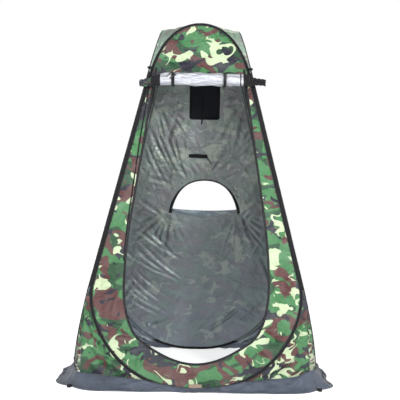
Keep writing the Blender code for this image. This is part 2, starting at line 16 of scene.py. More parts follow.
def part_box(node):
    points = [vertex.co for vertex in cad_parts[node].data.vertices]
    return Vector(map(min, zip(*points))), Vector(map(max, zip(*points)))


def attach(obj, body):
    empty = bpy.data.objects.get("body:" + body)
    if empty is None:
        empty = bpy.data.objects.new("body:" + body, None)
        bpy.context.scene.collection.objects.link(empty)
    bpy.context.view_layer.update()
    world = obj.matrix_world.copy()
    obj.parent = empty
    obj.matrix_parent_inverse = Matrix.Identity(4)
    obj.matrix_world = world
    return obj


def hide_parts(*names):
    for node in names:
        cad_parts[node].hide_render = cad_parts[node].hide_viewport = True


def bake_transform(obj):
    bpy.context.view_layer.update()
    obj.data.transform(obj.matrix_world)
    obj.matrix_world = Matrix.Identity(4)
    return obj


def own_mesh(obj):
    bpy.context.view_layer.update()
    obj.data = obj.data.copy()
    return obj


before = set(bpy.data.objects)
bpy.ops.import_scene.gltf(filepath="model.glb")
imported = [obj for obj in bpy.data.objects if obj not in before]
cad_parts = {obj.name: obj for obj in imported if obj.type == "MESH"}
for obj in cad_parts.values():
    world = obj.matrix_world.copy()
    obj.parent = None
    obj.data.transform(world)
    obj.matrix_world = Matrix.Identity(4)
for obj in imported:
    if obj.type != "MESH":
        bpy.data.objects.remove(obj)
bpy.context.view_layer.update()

# The walls, as in the part
SIDES = ("front", "right", "back", "left")  # quarter turns about +Z
SLOPE = 0.23245
LEAN = math.atan(SLOPE)
RISE = math.cos(LEAN)
BASE_HALF = 0.64
HOOP_INSET = 0.01199
FOOT_HEIGHT, FOOT_FLAT = 0.0058, 0.032
FOOT_TOP, FOOT_PULL, FOOT_REACH = 0.50, 0.33, 0.385
CROWN_START, CROWN_PULL, CROWN_REACH, CROWN_TOP = 1.576, 1.722, 0.14, 1.861
DOOR_TOP, DOOR_TOP_HALF, DOOR_KNEE, ZIP_TOP = 1.56, 0.2365, (0.322, 0.92), 1.612
ROLL_LEFT, ROLL_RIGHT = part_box("door_roll")[0].x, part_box("door_roll")[1].x
ROLL_HEIGHT, ROLL_OUT, ROLL_RADIUS, ROLL_TIES = 1.533, 0.044, 0.0355, (-0.140, 0.129)
WINDOW_CENTRE, WINDOW_HALF, WINDOW_SILL, WINDOW_RISE = -0.041, 0.203, 0.87, 0.184
VENT_CENTRE, VENT_HALF, VENT_BOTTOM, VENT_TOP = -0.031, 0.081, 1.42, 1.625
VENT_CORNER, VENT_FLAP_LAP = 0.0065, 0.018
RIBBON_AT, RIBBON_TOP, RIBBON_FOOT = -0.018, 1.55, 1.385
HOSE_CENTRE, HOSE_HALF, HOSE_HEIGHT = 0.004, 0.056, 1.198
PATCH_CENTRE, PATCH_HALF, PATCH_BOTTOM, PATCH_TOP = 0.002, 0.031, 0.0035, 0.030
SKIRT_OUT, SKIRT_CORNER_OUT, SKIRT_INNER_CORNER = 0.695, 0.592, 0.5672
GUSSET_START, GUSSET_END = 1 / 9, 7 / 9
GUSSET_TOP_OUT, GUSSET_FOOT_OUT, GUSSET_FOOT = 0.5405, 0.560, 0.062
ROLL_V, SILL_V = ROLL_HEIGHT / RISE, WINDOW_SILL / RISE  # measured up the slope

CLOTH = 0.0008  # thickness of every visible fabric sheet
PITCH = 0.009  # spacing of a wall's mesh points
SLEEVE_RADIUS = 0.0057
SEAM = 0.0050  # gussets and roof strips are sewn this far outside a hoop's wire
COIL_RADIUS, COIL_LIFT = 0.0011, 0.0021
CAMERA_PLACE, CAMERA_LENS = (0.0, -4.64, 0.821), 75.06
CAMERA_TURN = (91.3, -1.0, -0.17)  # degrees; the photograph was taken with the camera a little tilted
CORNERS = {  # corner: the side whose right-hand end it closes, and the next side round
    "front_right": ("front", "right"),
    "back_right": ("right", "back"),
    "back_left": ("back", "left"),
    "front_left": ("left", "front"),
}
JOINED = ("front_right", "back_right", "front_left")  # corners with a joint; back_left is open


# Geometry


def turn_matrix(side):
    angle = SIDES.index(side) * math.pi / 2
    return np.array(Matrix.Rotation(angle, 3, "Z"))


def turned(side, points):
    """Points of the front side, (across, -out, height), turned round to another side."""
    return np.asarray(points, float) @ turn_matrix(side).T


def on_wall(side, u, v, n=0.0):
    u, v, n = np.broadcast_arrays(*(np.asarray(x, float) for x in (u, v, n)))
    points = np.stack([u, -BASE_HALF + math.sin(LEAN) * v - RISE * n, RISE * v + math.sin(LEAN) * n], -1)
    return turned(side, points)


def plane_out(height):
    return BASE_HALF - SLOPE * height


def hoop_side(height):
    return plane_out(height) - HOOP_INSET


def cubic(a, b, c, d, t):
    t = np.atleast_1d(t)[:, None]
    a, b, c, d = (np.asarray(p, float) for p in (a, b, c, d))
    return a * (1 - t) ** 3 + b * 3 * t * (1 - t) ** 2 + c * 3 * t * t * (1 - t) + d * t**3


def foot_points(share):
    """(across, height) on the right-hand curve of a hoop's foot, from its top at 0 to its flat at 1."""
    top, pull = (hoop_side(FOOT_TOP), FOOT_TOP), (hoop_side(FOOT_PULL), FOOT_PULL)
    return cubic(top, pull, (FOOT_REACH, FOOT_HEIGHT), (FOOT_FLAT, FOOT_HEIGHT), share)


def crown_points(share):
    start, pull = (hoop_side(CROWN_START), CROWN_START), (hoop_side(CROWN_PULL), CROWN_PULL)
    return cubic(start, pull, (CROWN_REACH, CROWN_TOP), (0, CROWN_TOP), share)


def mirrored(line):
    return line[::-1] * (-1, 1)


def smoothstep(x, low=0.0, high=1.0):
    t = np.clip((x - low) / (high - low), 0, 1)
    return t * t * (3 - 2 * t)


def arch(x):
    """0 up to 0, 1 at a half, and 0 again from 1."""
    return np.sin(math.pi * np.clip(x, 0, 1))


def unit(rows):
    return rows / np.linalg.norm(rows, axis=1)[:, None]


def run(points, axis=0):
    """Distance travelled along an axis of an array of points, from 0."""
    steps = np.linalg.norm(np.diff(points, axis=axis), axis=-1)
    return np.cumsum(np.insert(steps, 0, 0, axis), axis)


def evenly(line, pitch, closed=False):
    """The same line with points at an even spacing near pitch."""
    line = np.vstack([line, line[:1]]) if closed else np.asarray(line)
    lengths = run(line)
    count = max(2, round(lengths[-1] / pitch))
    at = np.linspace(0, lengths[-1], count + 1)
    even = np.stack([np.interp(at, lengths, line[:, k]) for k in range(line.shape[1])], -1)
    return even[:-1] if closed else even


def sideways(line, closed):
    """Unit directions square to a line of (u, v), on its right."""
    ahead = unit(np.roll(line, -1, 0) - np.roll(line, 1, 0) if closed else np.gradient(line, axis=0))
    return np.stack([ahead[:, 1], -ahead[:, 0]], -1)


def offset(line, distance, closed=True):
    """An anticlockwise line of (u, v) moved outwards by distance."""
    return line + sideways(line, closed) * np.reshape(distance, (-1, 1))


def hoop_line(pitch=0.012):
    foot = foot_points(np.linspace(1, 0, 40))
    right = np.vstack([foot, crown_points(np.linspace(0, 1, 30))])
    line = np.vstack([right, mirrored(right)[1:]]) / (1, RISE)
    return evenly(line, pitch, closed=True)


def door_line(top, pitch=0.010):
    """The door opening's edge, open at the top, from its top left round the foot to its top right."""
    slope = (DOOR_KNEE[0] - DOOR_TOP_HALF) / (DOOR_TOP - DOOR_KNEE[1])
    share = np.linspace(0, 1, 24)
    hip, ankle, sole = (0.355, 0.53), (0.26, 0.222), (0.0, 0.122)
    right = np.vstack(
        [
            cubic(sole, (0.10, sole[1]), (0.19, 0.175), ankle, share),
            cubic(ankle, (0.335, 0.27), (0.362, 0.42), hip, share)[1:],
            cubic(hip, (0.355, 0.66), (0.341, 0.79), DOOR_KNEE, share)[1:],
            [(DOOR_TOP_HALF - slope * (top - DOOR_TOP), top)],
        ]
    )
    line = np.vstack([mirrored(right), right[1:]]) / (1, RISE)
    return evenly(line, pitch)


def window_line(pitch=0.008):
    """The window's arch from its right foot over the crown to its left foot."""
    share = np.linspace(0, 1, 30)
    right = cubic((WINDOW_HALF, 0), (0.175, 0.12), (0.11, WINDOW_RISE), (0, WINDOW_RISE), share)
    line = np.vstack([right, mirrored(right)[1:]]) + (WINDOW_CENTRE, WINDOW_SILL)
    return evenly(line / (1, RISE), pitch)


def closed_over(line, pitch):
    """An open line with its straight closing side filled in."""
    gap = evenly(np.array([line[-1], line[0]]), pitch)
    return np.vstack([line, gap[1:-1]])


def rounded_rectangle(centre, half_width, bottom, top, radius, pitch=0.006):
    middle, half_height = (bottom + top) / 2, (top - bottom) / 2
    angles = np.radians(np.linspace(0, 90, 7))
    points = []
    for quarter, (sx, sy) in enumerate(((1, 1), (-1, 1), (-1, -1), (1, -1))):
        a = angles + quarter * math.pi / 2
        x = centre + sx * (half_width - radius) + radius * np.cos(a)
        points.append(np.stack([x, middle + sy * (half_height - radius) + radius * np.sin(a)], -1))
    return evenly(np.vstack(points), pitch, closed=True)


def vent_line(grow, pitch=0.006):
    bottom, top = VENT_BOTTOM / RISE - grow, VENT_TOP / RISE + grow
    return rounded_rectangle(VENT_CENTRE, VENT_HALF + grow, bottom, top, VENT_CORNER + grow, pitch)


def inside(points, outline):
    """Which points lie inside a closed outline."""
    found = np.zeros(len(points), bool)
    for a, b in zip(outline, np.roll(outline, -1, 0)):
        if a[1] == b[1]:
            continue
        crosses = (a[1] > points[:, 1]) != (b[1] > points[:, 1])
        at = a[0] + (points[:, 1] - a[1]) * (b[0] - a[0]) / (b[1] - a[1])
        found ^= crosses & (points[:, 0] < at)
    return found


def edge_distance(points, lines):
    """Distance of each point from the nearest of some densely drawn lines."""
    marks = np.vstack([evenly(line, 0.005, closed=True) for line in lines])
    nearest = np.full(len(points), np.inf)
    for start in range(0, len(marks), 200):
        d = np.linalg.norm(points[:, None] - marks[None, start : start + 200], axis=2).min(1)
        nearest = np.minimum(nearest, d)
    return nearest


def cut_cloth(outline, holes=(), pitch=PITCH):
    """Triangles over a flat outline with holes: (points, triangles, each point's distance from an edge)."""

    def on_cloth(places):
        keep = inside(places, outline)
        for hole in holes:
            keep &= ~inside(places, hole)
        return keep

    lines = [outline, *holes]
    low, high = outline.min(0), outline.max(0)
    lattice = []
    for i, v in enumerate(np.arange(low[1], high[1], pitch * 0.87)):
        u = np.arange(low[0] + (i % 2) * pitch / 2, high[0], pitch)
        lattice.append(np.stack([u, np.full_like(u, v)], -1))
    lattice = np.vstack(lattice)
    lattice = lattice[on_cloth(lattice)]
    lattice = lattice[edge_distance(lattice, lines) > pitch * 0.55]
    edges, first = [], 0
    for line in lines:
        edges += [(first + i, first + (i + 1) % len(line)) for i in range(len(line))]
        first += len(line)
    points = [Vector(p) for p in np.vstack([*lines, lattice])]
    made = delaunay_2d_cdt(points, edges, [], 0, 1e-7)
    flat, faces = np.array([tuple(p) for p in made[0]]), np.array(made[2])
    faces = faces[on_cloth(flat[faces].mean(1))]
    a, b, c = (flat[faces[:, k]] for k in range(3))
    area = (b[:, 0] - a[:, 0]) * (c[:, 1] - a[:, 1]) - (b[:, 1] - a[:, 1]) * (c[:, 0] - a[:, 0])
    return flat, faces[np.abs(area) > 1e-9], edge_distance(flat, lines)


# Folds and creases, as heights over a flat sheet


def heading(angle):
    return np.array((math.cos(angle), math.sin(angle)))


def crease(points, start, end, width, height):
    """A ridge along a segment, tapering to nothing at both ends."""
    along = np.subtract(end, start)
    length = np.linalg.norm(along)
    along = along / length
    t = (points - start) @ along / length
    across = (points - start) @ np.array([-along[1], along[0]])
    arc = arch(t)
    bent = np.abs(across - 0.035 * length * arc) / width
    taper = np.where((t > 0) & (t < 1), arc**0.8, 0)
    return height * taper * (np.exp(-(bent**1.4)) - 0.45 * np.exp(-((bent - 1.9) ** 2)))


def fan(points, rng, centre, angles, count, reach, height, width=0.011):
    """Creases that spread from one point, between two angles in degrees."""
    total = np.zeros(len(points))
    for angle in np.linspace(*angles, count):
        way = heading(math.radians(angle + rng.uniform(-3, 3)))
        near, far = reach[0] * rng.uniform(0.8, 1.6), reach[1] * rng.uniform(0.6, 1.0)
        tall = height * rng.uniform(0.5, 1.1) * rng.choice([1, 1, -1])
        wide = width * rng.uniform(0.7, 1.5)
        total += crease(points, centre + way * near, centre + way * far, wide, tall)
    return total


def ripple(points, rng, height, size, count=9):
    """Broad soft unevenness."""
    total = np.zeros(len(points))
    for _ in range(count):
        angle, phase = rng.uniform(0, math.pi), rng.uniform(0, 2 * math.pi)
        length = size * rng.uniform(0.6, 1.7)
        total += np.sin((points @ heading(angle)) * 2 * math.pi / length + phase)
    return total * height / math.sqrt(count)


def strewn(points, rng, count, reach, height, tilt=(20, 70)):
    """Short sharp creases scattered over the cloth, most of them slanting."""
    total = np.zeros(len(points))
    low, high = points.min(0), points.max(0)
    for _ in range(count):
        start = rng.uniform(low, high)
        angle = math.radians(rng.uniform(*tilt)) * rng.choice([-1, 1])
        end = start + rng.uniform(*reach) * heading(angle)
        wide = rng.uniform(0.005, 0.010)
        tall = height * rng.uniform(0.4, 1) * rng.choice([-1, 1])
        total += crease(points, start, end, wide, tall)
    return total


def gathers(points, edge, height):
    """Small puckers square to a sewn edge, as thread pulls the cloth in."""
    turn = np.arctan2(points[:, 1] - 0.8, points[:, 0]) * 0.9
    waves = np.sin(turn * 2 * math.pi / 0.047) + 0.6 * np.sin(turn * 2 * math.pi / 0.071 + 1)
    return height * waves * np.exp(-((edge / 0.030) ** 1.5)) * smoothstep(edge, 0.003, 0.014)


# Objects


def new_object(name, mesh, paints):
    item = bpy.data.objects.new(name, mesh)
    bpy.context.scene.collection.objects.link(item)
    for paint in paints:
        mesh.materials.append(paint)
    return item


def set_uv(mesh, uv):
    """Gives every corner its point's place on the flat cloth, in metres."""
    layer = mesh.uv_layers.new(name="cloth")
    index = np.zeros(len(mesh.loops), np.int32)
    mesh.loops.foreach_get("vertex_index", index)
    layer.data.foreach_set("uv", np.asarray(uv, np.float32)[index].ravel())


def sheet(name, points, faces, uv, paints, thickness=CLOTH):
    """A sheet of cloth: the first paint is outside, the second inside."""
    mesh = bpy.data.meshes.new(name)
    mesh.from_pydata([tuple(p) for p in points], [], [tuple(int(i) for i in f) for f in faces])
    mesh.update()
    mesh.shade_smooth()
    set_uv(mesh, uv)
    item = new_object(name, mesh, paints)
    if thickness:
        solidify = item.modifiers.new("thickness", "SOLIDIFY")
        solidify.thickness = thickness
        solidify.offset = 0
        solidify.material_offset = len(paints) - 1
    return item


def grid_faces(columns, rows, wrap=False):
    """Quads over a grid of points stored row by row."""
    faces = []
    for j in range(rows - 1):
        for i in range(columns if wrap else columns - 1):
            k = (i + 1) % columns
            faces.append((j * columns + i, j * columns + k, (j + 1) * columns + k, (j + 1) * columns + i))
    return faces


def grid_sheet(name, place, columns, rows, paints, thickness=CLOTH, uv_start=(0.0, 0.0), flip=False):
    """A sheet of the points place(s, t), for shares s across and t along; UVs follow its lengths."""
    s, t = np.meshgrid(np.linspace(0, 1, columns), np.linspace(0, 1, rows))
    points = place(s.ravel(), t.ravel())
    shaped = points.reshape(rows, columns, 3)
    across, along = run(shaped, 1), run(shaped, 0)
    across -= across[:, -1:] / 2
    uv = np.stack([across.ravel(), along.ravel()], -1) + uv_start
    faces = np.array(grid_faces(columns, rows))
    return sheet(name, points, faces[:, ::-1] if flip else faces, uv, paints, thickness)


def tidy_normals(item, merge=0.0):
    """Turns all faces outwards, once points nearer than merge are joined."""
    work = bmesh.new()
    work.from_mesh(item.data)
    if merge:
        bmesh.ops.remove_doubles(work, verts=work.verts, dist=merge)
    bmesh.ops.recalc_face_normals(work, faces=work.faces)
    work.to_mesh(item.data)
    work.free()


def dress(item, slot, *replaced):
    if replaced:
        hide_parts(*replaced)
    return item


def ride(item, body, slot, *replaced):
    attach(item, body)
    return dress(item, slot, *replaced)


# Materials


class Paint:
    """A Principled material built up from nodes.

    Its place is in metres: on the flat sheet, or in the tent's frame for pieces with no cloth coordinates.
    """

    def __init__(self, name, roughness, flat=True, **sockets):
        self.material = bpy.data.materials.new(name)
        self.material.use_nodes = True
        self.tree = self.material.node_tree
        self.shader = self.tree.nodes["Principled BSDF"].inputs
        for socket, value in {"Roughness": roughness, **sockets}.items():
            self.feed(self.shader[socket.replace("_", " ")], value)
        if flat:
            self.place = self.add("ShaderNodeUVMap", uv_map="cloth").outputs[0]
        else:
            self.place = self.add("ShaderNodeTexCoord").outputs["Object"]

    def feed(self, socket, value):
        """Links a socket or sets its value; a colour is given without its alpha."""
        if isinstance(value, bpy.types.NodeSocket):
            self.tree.links.new(value, socket)
        else:
            socket.default_value = (*value, 1) if socket.type == "RGBA" else value

    def add(self, kind, inputs=None, **settings):
        node = self.tree.nodes.new(kind)
        for key, value in settings.items():
            setattr(node, key, value)
        for key, value in (inputs or {}).items():
            self.feed(node.inputs[key], value)
        return node

    def noise(self, scale, detail=2.0, distortion=0.0, roughness=0.5, place=None):
        inputs = {"Vector": place or self.place, "Scale": scale, "Detail": detail, "Distortion": distortion}
        return self.add("ShaderNodeTexNoise", {**inputs, "Roughness": roughness}).outputs[0]

    def waves(self, pitch, way, distortion=0.0):
        """Stripes at a pitch in metres."""
        inputs = {"Vector": self.place, "Scale": 0.314 / pitch, "Distortion": distortion}
        return self.add("ShaderNodeTexWave", inputs, bands_direction=way).outputs[1]

    def weave(self, pitch):
        """Threads over and under, as a height from 0 to 1."""
        return self.maths("MULTIPLY", self.waves(pitch, "X"), self.waves(pitch, "Y"))

    def spread(self, value, low, high, to_low=0.0, to_high=1.0):
        inputs = {"Value": value, "From Min": low, "From Max": high, "To Min": to_low, "To Max": to_high}
        return self.add("ShaderNodeMapRange", inputs).outputs[0]

    def mix(self, share, first, second, blend="MIX"):
        inputs = {0: share, 6: first, 7: second}
        return self.add("ShaderNodeMix", inputs, data_type="RGBA", blend_type=blend).outputs[2]

    def maths(self, operation, first, second=0.0):
        return self.add("ShaderNodeMath", {0: first, 1: second}, operation=operation).outputs[0]

    def colour(self, value):
        self.feed(self.shader["Base Color"], value)

    def mottle(self, first, second, *noise):
        """A colour that wanders between two."""
        self.colour(self.mix(self.noise(*noise), first, second))

    def rough(self, scale, detail, least, most):
        """A roughness that wanders between two."""
        self.feed(self.shader["Roughness"], self.spread(self.noise(scale, detail), 0.3, 0.7, least, most))

    def bump(self, *layers):
        """Layers of (height, depth in metres), the coarsest first."""
        inputs = {"Strength": 1.0}
        for height, depth in layers:
            normal = self.add("ShaderNodeBump", {**inputs, "Height": height, "Distance": depth}).outputs[0]
            inputs["Normal"] = normal
        self.feed(self.shader["Normal"], normal)

    def crumple(self, depth=0.016):
        """The relief all the thin polyester shares: crushed creases and the weave itself."""
        crushed, fine = self.noise(14, 6.0, 0.8, 0.66), self.noise(70, 3.0, 0.3, 0.6)
        self.bump((crushed, depth), (fine, 0.0012), (self.weave(0.0009), 0.00004))


GREEN, DARK_GREEN, BROWN = (0.038, 0.150, 0.050), (0.011, 0.052, 0.020), (0.078, 0.026, 0.025)
NIGHT, CREAM = (0.009, 0.008, 0.020), (0.42, 0.50, 0.32)


def camo_print(paint):
    """Woodland print on green: dark green and brown patches, dark twigs, and cream branches on top."""

    def layer(scale, detail, distortion, *shift):
        inputs = {"Vector": paint.place, "Location": (*shift, 0), "Scale": (0.85, 1.1, 1)}
        moved = paint.add("ShaderNodeMapping", inputs).outputs[0]
        return paint.noise(scale, detail, distortion, 0.45, moved)

    def forked(patches, lines):
        """Patches cut back except where another noise crosses its middle value: forking arms."""
        away = paint.maths("ABSOLUTE", paint.maths("SUBTRACT", lines, 0.5))
        return paint.maths("SUBTRACT", patches, paint.maths("MULTIPLY", away, 1.4))

    shade = layer(8.5, 0.8, 0.9, 3.1, 0.4)
    twigs = forked(layer(9.5, 0.6, 0.7, 8.3, 2.9), layer(10.5, 0.9, 1.2, 1.3, 6.6))
    earth = layer(8.4, 0.9, 1.3, 0.7, 5.2)
    branches = forked(layer(9.0, 0.6, 0.8, 5.6, 7.7), layer(10.5, 0.8, 1.3, 2.2, 9.1))
    colour = GREEN
    shades = (shade, 0.530, DARK_GREEN), (earth, 0.542, BROWN)
    for value, threshold, ink in (*shades, (twigs, 0.510, NIGHT), (branches, 0.525, CREAM)):
        colour = paint.mix(paint.spread(value, threshold, threshold + 0.010), colour, ink)
    return colour


def camo_outside(name, least, most):
    """The printed side, paled by noise from least to most; on the roof the paling is a painted highlight.
    """
    paint = Paint(name, 0.4, Sheen_Weight=0.03, Sheen_Roughness=0.4, Specular_IOR_Level=0.4)
    # paler where the noise is high; on the roof's copy this is a painted highlight of light falling on the
    # top
    pale_tone_and_highlight = paint.spread(paint.noise(7, 4.0, 0.4), 0.40, 0.75, least, most)
    paint.colour(paint.mix(pale_tone_and_highlight, camo_print(paint), (0.40, 0.50, 0.44)))
    paint.rough(30, 3.0, 0.30, 0.46)
    paint.crumple()
    return paint.material


def silver_inside():
    """The silver coating, with the print showing faintly through it, and a painted tint of reflected light.
    """
    paint = Paint("silver_inside", 0.34, Metallic=0.6, Specular_IOR_Level=0.6)
    grey = paint.mix(paint.noise(9, 4.0, 0.5), (0.135, 0.145, 0.152), (0.22, 0.24, 0.27))
    # painted reflection: the lining is tinted bluish low down and warmer higher up
    up = paint.add("ShaderNodeSeparateXYZ", {0: paint.place}).outputs[1]
    reflection_tint = paint.mix(paint.spread(up, 0.6, 2.3), (0.96, 1.04, 1.20), (1.02, 1.03, 0.96))
    paint.colour(paint.mix(0.17, paint.mix(1.0, grey, reflection_tint, "MULTIPLY"), camo_print(paint)))
    paint.rough(40, 3.0, 0.27, 0.40)
    paint.crumple(0.007)
    return paint.material


def roll_silver():
    paint = Paint("roll_silver", 0.36, Metallic=0.35, Specular_IOR_Level=0.6)
    paint.mottle((0.30, 0.31, 0.35), (0.52, 0.53, 0.57), 18, 4.0, 0.5)
    paint.crumple()
    return paint.material


def slate_cloth():
    paint = Paint("slate_cloth", 0.5, Sheen_Weight=0.12, Sheen_Roughness=0.35, Specular_IOR_Level=0.4)
    paint.mottle((0.034, 0.044, 0.058), (0.080, 0.095, 0.135), 8, 4.0, 0.6)
    paint.rough(30, 3.0, 0.40, 0.62)
    paint.crumple()
    return paint.material


def black_tape():
    """Woven tape with fine ribs across it."""
    paint = Paint("black_tape", 0.8, Sheen_Weight=0.05, Specular_IOR_Level=0.2)
    paint.mottle((0.004, 0.004, 0.005), (0.012, 0.012, 0.014), 120, 3.0)
    paint.bump((paint.noise(60), 0.0006), (paint.waves(0.0012, "Y"), 0.00012))
    return paint.material


def black_webbing():
    """The same tape on the carried-over pieces."""
    paint = Paint("black_webbing", 0.82, flat=False, Sheen_Weight=0.05, Specular_IOR_Level=0.2)
    paint.mottle((0.004, 0.004, 0.005), (0.014, 0.014, 0.016), 150, 3.0)
    paint.bump((paint.noise(90), 0.0005), (paint.waves(0.0011, "DIAGONAL", 0.4), 0.00015))
    return paint.material


def black_net():
    paint = Paint("black_net", 0.8, Specular_IOR_Level=0.2)
    holes = paint.weave(0.0022)
    paint.colour(paint.mix(holes, (0.009, 0.010, 0.014), (0.022, 0.024, 0.032)))
    paint.bump((paint.noise(25), 0.003), (holes, 0.0004))
    return paint.material


def enamelled_metal():
    paint = Paint("enamelled_metal", 0.3, flat=False, Metallic=0.6)
    worn = paint.spread(paint.noise(380, 4.0), 0.62, 0.70)
    paint.colour(paint.mix(worn, (0.018, 0.018, 0.020), (0.25, 0.25, 0.26)))
    paint.rough(260, 2.0, 0.22, 0.42)
    paint.bump((paint.noise(500), 0.00008))
    return paint.material


def tan_leather():
    paint = Paint("tan_leather", 0.7)
    paint.mottle((0.17, 0.125, 0.085), (0.36, 0.28, 0.20), 90, 5.0)
    grain = paint.add("ShaderNodeTexVoronoi", {"Vector": paint.place, "Scale": 900.0}).outputs[0]
    paint.bump((paint.noise(80, 3.0), 0.0008), (grain, 0.0002))
    return paint.material


def plain(name, roughness, first, second, mottle, relief, gloss=None, flat=True, **sockets):
    """Two mottled colours, one relief of (noise scale, depth) and, with a gloss, an uneven roughness."""
    paint = Paint(name, roughness, flat, **sockets)
    paint.mottle(first, second, *mottle)
    if gloss:
        paint.rough(*gloss)
    paint.bump((paint.noise(relief[0]), relief[1]))
    return paint.material


# The roof's copy of the camo is paled strongly: a painted highlight of light falling on the top.
CAMO, ROOF_HIGHLIT = camo_outside("camo_outside", 0.0, 0.07), camo_outside("roof_painted_highlight", 0.35, 0.75)
INSIDE, ROLL, SLATE = silver_inside(), roll_silver(), slate_cloth()
TAPE, WEBBING, NET = black_tape(), black_webbing(), black_net()
COIL = plain("coil_plastic", 0.4, (0.010, 0.010, 0.012), (0.028, 0.028, 0.032), (90,), (400, 0.00008))
METAL = enamelled_metal()
PLASTIC = plain(
    "moulded_plastic", 0.45, (0.012, 0.012, 0.013), (0.030, 0.030, 0.032),
    (200, 3.0), (900, 0.00006), (320, 3.0, 0.36, 0.55), flat=False,
)
STEEL = plain(
    "spring_steel", 0.3, (0.42, 0.43, 0.45), (0.62, 0.63, 0.65),
    (60, 3.0), (300, 0.00005), (140, 3.0, 0.22, 0.42), flat=False, Metallic=1.0,
)
LEATHER = tan_leather()
THREAD = plain(
    "cotton_thread", 0.8, (0.10, 0.10, 0.11), (0.22, 0.22, 0.24),
    (500,), (1500, 0.0001), Sheen_Weight=0.3,
)


# Pieces that follow a line on a wall


def wall_sweep(name, side, line, section, paint, closed=False, scale=1.0):
    """A section of (outwards in the wall's plane, out from the wall), carried along a line on the wall."""
    section, scale = np.asarray(section), np.broadcast_to(scale, len(line))[:, None]
    flat = line[:, None] + sideways(line, closed)[:, None] * (section[:, 0] * scale)[..., None]
    height = section[:, 1] * np.where(section[:, 1] > 0, scale, 1)
    points = on_wall(side, flat[..., 0], flat[..., 1], height).reshape(-1, 3)
    rows, columns = height.shape
    along, around = run(line), run(section)
    if closed:
        points, along = np.vstack([points, points[:columns]]), np.append(along, 2 * along[-1] - along[-2])
        rows += 1
    faces = grid_faces(columns, rows, wrap=True)
    if not closed:
        faces += [tuple(range(columns))[::-1], tuple(range((rows - 1) * columns, rows * columns))]
    uv = np.stack([np.tile(around, rows), np.repeat(along, columns)], -1)
    item = sheet(name, points, faces, uv, [paint], thickness=0)
    tidy_normals(item, merge=1e-6)
    return item


def sewn(name, side, line, section, *replaced, paint=TAPE, **shape):
    """A sweep that rides its wall, in black tape unless another paint is given."""
    return ride(wall_sweep(name, side, line, section, paint, **shape), side, "black_webbing", *replaced)


def ring(radius, sides, lift=0.0):
    angles = np.linspace(0, 2 * math.pi, sides, endpoint=False)
    return [(radius * math.cos(a), lift + radius * math.sin(a)) for a in angles]


def band(inner, outer, lift, thickness=0.0009):
    """A flat tape's section, with its edges a little rounded."""
    half = thickness / 2
    soft = half * 0.8
    upper = [(outer, lift - half * 0.4), (outer, lift + half * 0.4), (outer - soft, lift + half)]
    upper += [(inner + soft, lift + half), (inner, lift + half * 0.4), (inner, lift - half * 0.4)]
    return upper + [(inner + soft, lift - half), (outer - soft, lift - half)]


def zip_coil(name, side, line, way):
    """A zip's teeth, as a coil that swells at every second point; way is 1 outside, -1 inside."""
    line = evenly(line, COIL_RADIUS)
    teeth = np.where(np.arange(len(line)) % 2, 1.18, 0.78)
    section = [(x, way * y) for x, y in ring(COIL_RADIUS, 8, COIL_LIFT)]
    sewn(name, side, line, section, paint=COIL, scale=teeth)


def stitches(name, side, line, inset, lift, closed=False, pitch=0.0042, slot="black_webbing"):
    """A row of lock stitches: short threads that dip at both ends."""
    track = evenly(offset(line, inset, closed), pitch, closed)
    steps = ((0.12, -0.0003), (0.3, 0.00015), (0.5, 0.0003), (0.7, 0.00015), (0.88, -0.0003))
    angles = np.linspace(0, 2 * math.pi, 4, endpoint=False)
    points, faces = [], []
    for a, b in zip(track[:-1], track[1:]):
        along = b - a
        aside = np.array([along[1], -along[0]]) / np.linalg.norm(along)
        first = len(points)
        faces += [tuple(first + i for i in face) for face in grid_faces(4, len(steps), wrap=True)]
        for share, rise in steps:
            for angle in angles:
                u, v = a + along * share + aside * 0.00035 * math.cos(angle)
                points.append((u, v, lift + rise + 0.0003 * math.sin(angle)))
    points = np.array(points)
    item = sheet(name, on_wall(side, *points.T), faces, points[:, :2], [THREAD], thickness=0)
    tidy_normals(item)
    ride(item, side, slot)


def strap(name, side, place, wide, width, *replaced, thickness=0.0014):
    """Flat webbing along places (u, v, n) on a wall; wide is the (u, v) direction across its width."""
    path = on_wall(side, *place)
    wide = unit(np.broadcast_to(on_wall(side, *wide) - on_wall(side, 0, 0), path.shape))
    across = np.linspace(-0.5, 0.5, 5) * width
    points = (path[:, None] + wide[:, None] * across[None, :, None]).reshape(-1, 3)
    uv = np.stack([np.tile(across, len(path)), np.repeat(run(path), len(across))], -1)
    item = sheet(name, points, grid_faces(len(across), len(path)), uv, [TAPE], thickness)
    bevel = item.modifiers.new("selvedge", "BEVEL")
    bevel.width = thickness * 0.3
    bevel.segments = 2
    bevel.limit_method = "ANGLE"
    ride(item, side, "black_webbing", *replaced)


def wall_cloth(name, side, cut, n, shift, paints, thickness=CLOTH):
    """Cut cloth laid on a wall, at a height n over it; shift moves its print."""
    flat, faces, _ = cut
    return sheet(name, on_wall(side, flat[:, 0], flat[:, 1], n), faces, flat + shift, paints, thickness)


# Walls


def in_region(points, left, right, bottom, top, soft=0.03):
    """1 inside a rectangle, falling to 0 outside it."""
    share = 1
    for value, low, high in ((points[:, 0], left, right), (points[:, 1], bottom, top)):
        share = share * smoothstep(value, low - soft, low) * (1 - smoothstep(value, high, high + soft))
    return share


def near_vent(points):
    """Where the back wall lies flat under the vent and its storm flap."""
    return in_region(points, VENT_CENTRE - 0.11, VENT_CENTRE + 0.11, 1.42, 1.76)


